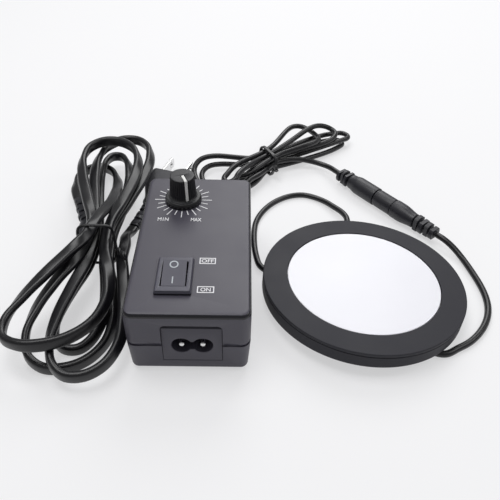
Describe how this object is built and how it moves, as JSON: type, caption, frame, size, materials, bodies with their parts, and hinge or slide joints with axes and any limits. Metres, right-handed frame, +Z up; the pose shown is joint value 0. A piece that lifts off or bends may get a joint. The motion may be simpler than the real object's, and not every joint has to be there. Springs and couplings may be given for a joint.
{
  "type": "microscope LED light panel with dimmer power box",
  "caption": "Round flat LED light panel on a lead, with a dimmer power box that has a rocker switch and a knob, and a loose tied mains lead",
  "frame": {"origin": "on the table, midway between the outer edges of power box and light panel and midway between their near and far edges", "axes": "+Z up; +X from the power box towards the light panel; +Y from the mains inlet towards the knob end of the box; -Y is the side seen in the picture"},
  "size_m": [0.2201, 0.2025, 0.0486],
  "materials": {
    "case_plastic": "fine moulded texture, satin",
    "dark_plastic": "satin",
    "knob_plastic": "satin",
    "panel_paint": "satin black paint",
    "white_plastic": "matte",
    "diffuser_white": "translucent white, satin",
    "clear_acrylic": "polished",
    "black_rubber": "moulded, satin",
    "cord_jacket": "smooth, slightly glossy",
    "tie_coating": "satin",
    "nickel": "plated",
    "steel": "zinc plated",
    "aluminium": "mill finish",
    "board_laminate": "solder mask",
    "ferrite": "matte",
    "can_sleeve": "shrink sleeve"
  },
  "bodies": {
    "base": {"top_cover": "case_plastic", "bottom_shell": "case_plastic", "case_screw_1": "steel", "case_screw_2": "steel", "case_screw_3": "steel", "case_screw_4": "steel", "foot_1": "black_rubber", "foot_2": "black_rubber", "foot_3": "black_rubber", "foot_4": "black_rubber", "mains_inlet": "dark_plastic", "inlet_pin_left": "nickel", "inlet_pin_right": "nickel", "switch_housing": "dark_plastic", "switch_terminal_1": "nickel", "switch_terminal_2": "nickel", "output_grommet": "black_rubber", "potentiometer": "steel", "potentiometer_nut": "nickel", "circuit_board": "board_laminate", "transformer": "ferrite", "input_capacitor": "can_sleeve", "output_capacitor": "can_sleeve", "input_choke": "ferrite", "heat_sink": "aluminium", "power_transistor": "dark_plastic", "output_socket": "black_rubber", "output_lead_box_end": "cord_jacket", "output_lead_hank": "cord_jacket", "output_lead_socket_end": "cord_jacket", "output_lead_tie": "tie_coating", "mains_connector": "black_rubber", "mains_lead_connector_end": "cord_jacket", "mains_lead_hank": "cord_jacket", "mains_lead_plug_end": "cord_jacket", "mains_lead_tie": "tie_coating", "mains_plug": "black_rubber", "mains_blade_1": "nickel", "mains_blade_2": "nickel"},
    "knob": {"knob": "knob_plastic", "knob_pointer": "white_plastic", "potentiometer_shaft": "nickel"},
    "rocker": {"rocker": "dark_plastic"},
    "lamp": {"lamp_housing": "panel_paint", "lamp_rim": "panel_paint", "diffuser": "diffuser_white", "light_guide": "clear_acrylic", "reflector_sheet": "white_plastic", "led_ring": "white_plastic", "lamp_screw_1": "steel", "lamp_screw_2": "steel", "lamp_screw_3": "steel", "lamp_grommet": "black_rubber", "lamp_lead": "cord_jacket", "lamp_plug": "black_rubber", "lamp_plug_barrel": "nickel"}
  },
  "joints": [
    {"name": "knob_turn", "type": "hinge", "parent": "base", "child": "knob", "pos_m": [-0.05738, 0.0288, 0.0344], "axis": [0, 0, -1], "range_deg": [-293, 7]},
    {"name": "rocker_tilt", "type": "hinge", "parent": "base", "child": "rocker", "pos_m": [-0.05668, -0.0243, 0.0356], "axis": [1, 0, 0], "range_deg": [-16, 0]},
    {"name": "plug_pull", "type": "slide", "parent": "base", "child": "lamp", "axis": [0.6211, -0.7837, 0], "range_m": [0, 0.0125]}
  ]
}
